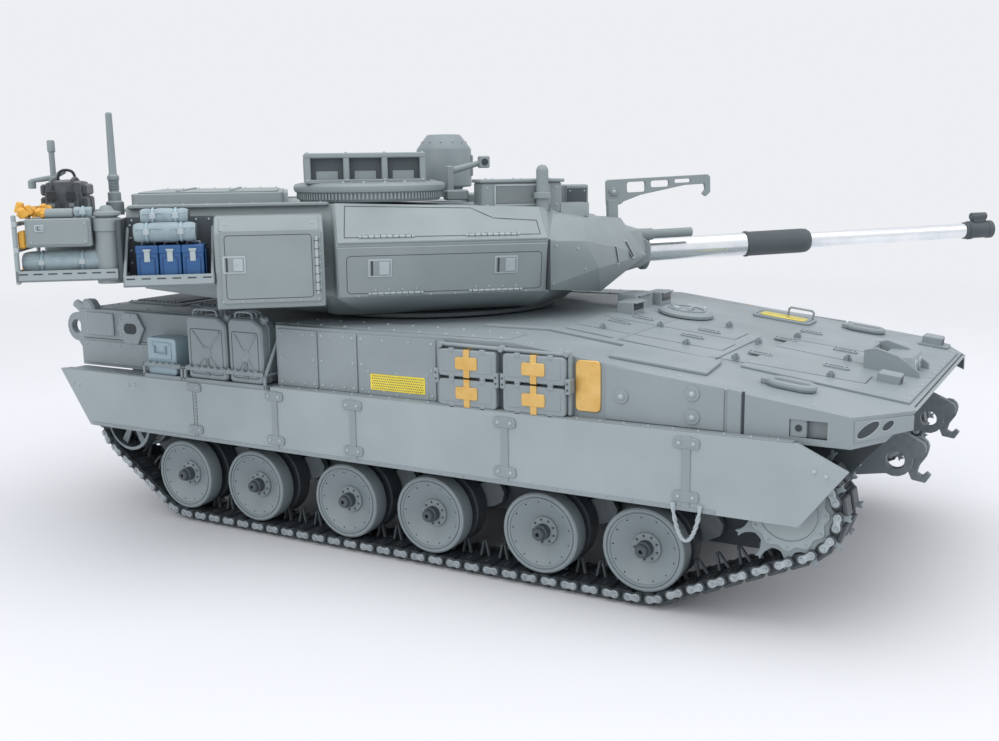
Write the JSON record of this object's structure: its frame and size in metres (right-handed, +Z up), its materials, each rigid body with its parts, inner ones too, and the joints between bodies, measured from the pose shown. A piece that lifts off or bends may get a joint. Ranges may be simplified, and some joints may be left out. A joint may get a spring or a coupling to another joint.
{
  "type": "radio-controlled model tank",
  "caption": "Radio-controlled scale model of a modern main battle tank: suspended road wheels, driven tracks, turning turret, elevating gun with recoil and stowage racks.",
  "frame": {"origin": "middle of the whole model's box, on the ground under the tracks, with the turret turned 40 degrees to the left", "axes": "+X towards the hull's nose, +Y towards its left side, +Z up"},
  "size_m": [0.4996, 0.4358, 0.214],
  "materials": {
    "hull_plastic": "unpainted moulded polystyrene, blue-grey, satin",
    "wheel_plastic": "unpainted moulded plastic, darker grey, satin",
    "ring_plastic": "moulded plastic, satin",
    "track_links": "blackened cast links with bright connector ends",
    "connector_steel": "bright steel end connectors and bolts",
    "dark_steel": "dark cast metal",
    "gearbox_metal": "zinc-aluminium casting",
    "barrel_aluminium": "bright turned aluminium",
    "etched_brass": "etched brass sheet, satin",
    "canvas": "rolled tarpaulin, cast in soft grey-blue",
    "ammo_blue": "satin blue boxes under a folded tarpaulin",
    "pack_fabric": "dark woven nylon",
    "clear_glass": "clear moulded blocks and lenses",
    "switch_black": "moulded nylon",
    "battery_wrap": "shrink-wrapped cell pack",
    "circuit_board": "solder-masked board"
  },
  "bodies": {
    "hull": {"lower_hull": "hull_plastic", "upper_hull": "hull_plastic", "track_right": "track_links", "side_skirt_right": "hull_plastic", "tow_lug_right": "dark_steel", "stowage_rack_right": "hull_plastic", "gearbox_right": "gearbox_metal", "track_left": "track_links", "side_skirt_left": "hull_plastic", "tow_lug_left": "dark_steel", "stowage_rack_left": "hull_plastic", "gearbox_left": "gearbox_metal", "sponson_boxes": "hull_plastic", "battery_pack": "battery_wrap", "control_board": "circuit_board", "traverse_motor": "gearbox_metal"},
    "turret": {"turret_shell": "hull_plastic", "turret_ring": "ring_plastic", "storage_box": "hull_plastic", "bustle_rack": "hull_plastic", "antenna_mast": "hull_plastic", "tarp_roll": "canvas", "basket_load": "ammo_blue", "backpack": "pack_fabric"},
    "gun_mount": {"mantlet": "hull_plastic"},
    "barrel": {"gun_barrel": "barrel_aluminium"},
    "cupola_ring": {"cupola": "hull_plastic"},
    "sensor_head": {"sensor_drum": "hull_plastic"},
    "hatch": {"driver_hatch": "hull_plastic"},
    "switch_knob": {"power_switch": "switch_black"},
    "hook_right": {"tow_hook_right": "dark_steel"},
    "sprocket_right": {"drive_sprocket_right": "wheel_plastic"},
    "idler_right": {"idler_wheel_right": "wheel_plastic"},
    "arm_right_1": {"swing_arm_right_1": "dark_steel"},
    "wheel_right_1": {"road_wheel_right_1": "wheel_plastic"},
    "arm_right_2": {"swing_arm_right_2": "dark_steel"},
    "wheel_right_2": {"road_wheel_right_2": "wheel_plastic"},
    "arm_right_3": {"swing_arm_right_3": "dark_steel"},
    "wheel_right_3": {"road_wheel_right_3": "wheel_plastic"},
    "arm_right_4": {"swing_arm_right_4": "dark_steel"},
    "wheel_right_4": {"road_wheel_right_4": "wheel_plastic"},
    "arm_right_5": {"swing_arm_right_5": "dark_steel"},
    "wheel_right_5": {"road_wheel_right_5": "wheel_plastic"},
    "arm_right_6": {"swing_arm_right_6": "dark_steel"},
    "wheel_right_6": {"road_wheel_right_6": "wheel_plastic"},
    "hook_left": {"tow_hook_left": "dark_steel"},
    "sprocket_left": {"drive_sprocket_left": "wheel_plastic"},
    "idler_left": {"idler_wheel_left": "wheel_plastic"},
    "arm_left_1": {"swing_arm_left_1": "dark_steel"},
    "wheel_left_1": {"road_wheel_left_1": "wheel_plastic"},
    "arm_left_2": {"swing_arm_left_2": "dark_steel"},
    "wheel_left_2": {"road_wheel_left_2": "wheel_plastic"},
    "arm_left_3": {"swing_arm_left_3": "dark_steel"},
    "wheel_left_3": {"road_wheel_left_3": "wheel_plastic"},
    "arm_left_4": {"swing_arm_left_4": "dark_steel"},
    "wheel_left_4": {"road_wheel_left_4": "wheel_plastic"},
    "arm_left_5": {"swing_arm_left_5": "dark_steel"},
    "wheel_left_5": {"road_wheel_left_5": "wheel_plastic"},
    "arm_left_6": {"swing_arm_left_6": "dark_steel"},
    "wheel_left_6": {"road_wheel_left_6": "wheel_plastic"}
  },
  "joints": [
    {"name": "turret_traverse", "type": "hinge", "parent": "hull", "child": "turret", "pos_m": [-0.03276, -0.01462, 0.115], "axis": [0, 0, 1], "range_deg": [-200, 120]},
    {"name": "gun_elevation", "type": "hinge", "parent": "turret", "child": "gun_mount", "pos_m": [0.03159, 0.03938, 0.1411], "axis": [0.6428, -0.766, 0], "range_deg": [-6.84, 16.16]},
    {"name": "gun_recoil", "type": "slide", "parent": "gun_mount", "child": "barrel", "axis": [0.7656, 0.6425, 0.0321], "range_m": [-0.009, 0], "stiffness_N_per_m": 200, "springref_m": 0.005},
    {"name": "cupola_turn", "type": "hinge", "parent": "turret", "child": "cupola_ring", "pos_m": [-0.03539, -0.06904, 0.1755], "axis": [0, 0, 1], "continuous": true},
    {"name": "sensor_turn", "type": "hinge", "parent": "turret", "child": "sensor_head", "pos_m": [-0.03281, 0.001, 0.1755], "axis": [0, 0, 1], "continuous": true},
    {"name": "driver_hatch_hinge", "type": "hinge", "parent": "hull", "child": "hatch", "pos_m": [0.10824, 0.04138, 0.11278], "axis": [-0.9914, 0, 0.1307], "range_deg": [0, 100]},
    {"name": "power_switch_slide", "type": "slide", "parent": "hull", "child": "switch_knob", "axis": [1, 0, 0], "range_m": [0, 0.004]},
    {"name": "tow_hook_right_swing", "type": "hinge", "parent": "hull", "child": "hook_right", "pos_m": [0.24424, -0.05582, 0.0701], "axis": [0, 1, 0], "range_deg": [-60, 60]},
    {"name": "sprocket_right_spin", "type": "hinge", "parent": "hull", "child": "sprocket_right", "pos_m": [0.20494, -0.10792, 0.0529], "axis": [0, 1, 0], "continuous": true},
    {"name": "idler_right_spin", "type": "hinge", "parent": "hull", "child": "idler_right", "pos_m": [-0.17476, -0.10792, 0.052], "axis": [0, 1, 0], "continuous": true},
    {"name": "swing_arm_right_1_pivot", "type": "hinge", "parent": "hull", "child": "arm_right_1", "pos_m": [-0.11006, -0.08872, 0.0335], "axis": [0, 1, 0], "range_deg": [0, 12], "stiffness_Nm_per_rad": 0.2, "springref_deg": -11.46},
    {"name": "road_wheel_right_1_spin", "type": "hinge", "parent": "arm_right_1", "child": "wheel_right_1", "pos_m": [-0.13206, -0.10792, 0.0258], "axis": [0, 1, 0], "continuous": true},
    {"name": "swing_arm_right_2_pivot", "type": "hinge", "parent": "hull", "child": "arm_right_2", "pos_m": [-0.05926, -0.08872, 0.0335], "axis": [0, 1, 0], "range_deg": [0, 12], "stiffness_Nm_per_rad": 0.2, "springref_deg": -11.46},
    {"name": "road_wheel_right_2_spin", "type": "hinge", "parent": "arm_right_2", "child": "wheel_right_2", "pos_m": [-0.08126, -0.10792, 0.0258], "axis": [0, 1, 0], "continuous": true},
    {"name": "swing_arm_right_3_pivot", "type": "hinge", "parent": "hull", "child": "arm_right_3", "pos_m": [0.00124, -0.08872, 0.0335], "axis": [0, 1, 0], "range_deg": [0, 12], "stiffness_Nm_per_rad": 0.2, "springref_deg": -11.46},
    {"name": "road_wheel_right_3_spin", "type": "hinge", "parent": "arm_right_3", "child": "wheel_right_3", "pos_m": [-0.02076, -0.10792, 0.0258], "axis": [0, 1, 0], "continuous": true},
    {"name": "swing_arm_right_4_pivot", "type": "hinge", "parent": "hull", "child": "arm_right_4", "pos_m": [0.05214, -0.08872, 0.0335], "axis": [0, 1, 0], "range_deg": [0, 12], "stiffness_Nm_per_rad": 0.2, "springref_deg": -11.46},
    {"name": "road_wheel_right_4_spin", "type": "hinge", "parent": "arm_right_4", "child": "wheel_right_4", "pos_m": [0.03014, -0.10792, 0.0258], "axis": [0, 1, 0], "continuous": true},
    {"name": "swing_arm_right_5_pivot", "type": "hinge", "parent": "hull", "child": "arm_right_5", "pos_m": [0.11264, -0.08872, 0.0335], "axis": [0, 1, 0], "range_deg": [0, 12], "stiffness_Nm_per_rad": 0.2, "springref_deg": -11.46},
    {"name": "road_wheel_right_5_spin", "type": "hinge", "parent": "arm_right_5", "child": "wheel_right_5", "pos_m": [0.09064, -0.10792, 0.0258], "axis": [0, 1, 0], "continuous": true},
    {"name": "swing_arm_right_6_pivot", "type": "hinge", "parent": "hull", "child": "arm_right_6", "pos_m": [0.16344, -0.08872, 0.0335], "axis": [0, 1, 0], "range_deg": [0, 12], "stiffness_Nm_per_rad": 0.2, "springref_deg": -11.46},
    {"name": "road_wheel_right_6_spin", "type": "hinge", "parent": "arm_right_6", "child": "wheel_right_6", "pos_m": [0.14144, -0.10792, 0.0258], "axis": [0, 1, 0], "continuous": true},
    {"name": "tow_hook_left_swing", "type": "hinge", "parent": "hull", "child": "hook_left", "pos_m": [0.24424, 0.03418, 0.0701], "axis": [0, 1, 0], "range_deg": [-60, 60]},
    {"name": "sprocket_left_spin", "type": "hinge", "parent": "hull", "child": "sprocket_left", "pos_m": [0.20494, 0.07868, 0.0529], "axis": [0, 1, 0], "continuous": true},
    {"name": "idler_left_spin", "type": "hinge", "parent": "hull", "child": "idler_left", "pos_m": [-0.17476, 0.07868, 0.052], "axis": [0, 1, 0], "continuous": true},
    {"name": "swing_arm_left_1_pivot", "type": "hinge", "parent": "hull", "child": "arm_left_1", "pos_m": [-0.11006, 0.05948, 0.0335], "axis": [0, 1, 0], "range_deg": [0, 12], "stiffness_Nm_per_rad": 0.2, "springref_deg": -11.46},
    {"name": "road_wheel_left_1_spin", "type": "hinge", "parent": "arm_left_1", "child": "wheel_left_1", "pos_m": [-0.13206, 0.07868, 0.0258], "axis": [0, 1, 0], "continuous": true},
    {"name": "swing_arm_left_2_pivot", "type": "hinge", "parent": "hull", "child": "arm_left_2", "pos_m": [-0.05926, 0.05948, 0.0335], "axis": [0, 1, 0], "range_deg": [0, 12], "stiffness_Nm_per_rad": 0.2, "springref_deg": -11.46},
    {"name": "road_wheel_left_2_spin", "type": "hinge", "parent": "arm_left_2", "child": "wheel_left_2", "pos_m": [-0.08126, 0.07868, 0.0258], "axis": [0, 1, 0], "continuous": true},
    {"name": "swing_arm_left_3_pivot", "type": "hinge", "parent": "hull", "child": "arm_left_3", "pos_m": [0.00124, 0.05948, 0.0335], "axis": [0, 1, 0], "range_deg": [0, 12], "stiffness_Nm_per_rad": 0.2, "springref_deg": -11.46},
    {"name": "road_wheel_left_3_spin", "type": "hinge", "parent": "arm_left_3", "child": "wheel_left_3", "pos_m": [-0.02076, 0.07868, 0.0258], "axis": [0, 1, 0], "continuous": true},
    {"name": "swing_arm_left_4_pivot", "type": "hinge", "parent": "hull", "child": "arm_left_4", "pos_m": [0.05214, 0.05948, 0.0335], "axis": [0, 1, 0], "range_deg": [0, 12], "stiffness_Nm_per_rad": 0.2, "springref_deg": -11.46},
    {"name": "road_wheel_left_4_spin", "type": "hinge", "parent": "arm_left_4", "child": "wheel_left_4", "pos_m": [0.03014, 0.07868, 0.0258], "axis": [0, 1, 0], "continuous": true},
    {"name": "swing_arm_left_5_pivot", "type": "hinge", "parent": "hull", "child": "arm_left_5", "pos_m": [0.11264, 0.05948, 0.0335], "axis": [0, 1, 0], "range_deg": [0, 12], "stiffness_Nm_per_rad": 0.2, "springref_deg": -11.46},
    {"name": "road_wheel_left_5_spin", "type": "hinge", "parent": "arm_left_5", "child": "wheel_left_5", "pos_m": [0.09064, 0.07868, 0.0258], "axis": [0, 1, 0], "continuous": true},
    {"name": "swing_arm_left_6_pivot", "type": "hinge", "parent": "hull", "child": "arm_left_6", "pos_m": [0.16344, 0.05948, 0.0335], "axis": [0, 1, 0], "range_deg": [0, 12], "stiffness_Nm_per_rad": 0.2, "springref_deg": -11.46},
    {"name": "road_wheel_left_6_spin", "type": "hinge", "parent": "arm_left_6", "child": "wheel_left_6", "pos_m": [0.14144, 0.07868, 0.0258], "axis": [0, 1, 0], "continuous": true}
  ],
  "couplings": [
    {"joint": "idler_right_spin", "follows": "sprocket_right_spin", "ratio": 1.0192},
    {"joint": "road_wheel_right_1_spin", "follows": "sprocket_right_spin", "ratio": 1.014},
    {"joint": "road_wheel_right_2_spin", "follows": "sprocket_right_spin", "ratio": 1.014},
    {"joint": "road_wheel_right_3_spin", "follows": "sprocket_right_spin", "ratio": 1.014},
    {"joint": "road_wheel_right_4_spin", "follows": "sprocket_right_spin", "ratio": 1.014},
    {"joint": "road_wheel_right_5_spin", "follows": "sprocket_right_spin", "ratio": 1.014},
    {"joint": "road_wheel_right_6_spin", "follows": "sprocket_right_spin", "ratio": 1.014},
    {"joint": "idler_left_spin", "follows": "sprocket_left_spin", "ratio": 1.0192},
    {"joint": "road_wheel_left_1_spin", "follows": "sprocket_left_spin", "ratio": 1.014},
    {"joint": "road_wheel_left_2_spin", "follows": "sprocket_left_spin", "ratio": 1.014},
    {"joint": "road_wheel_left_3_spin", "follows": "sprocket_left_spin", "ratio": 1.014},
    {"joint": "road_wheel_left_4_spin", "follows": "sprocket_left_spin", "ratio": 1.014},
    {"joint": "road_wheel_left_5_spin", "follows": "sprocket_left_spin", "ratio": 1.014},
    {"joint": "road_wheel_left_6_spin", "follows": "sprocket_left_spin", "ratio": 1.014}
  ]
}
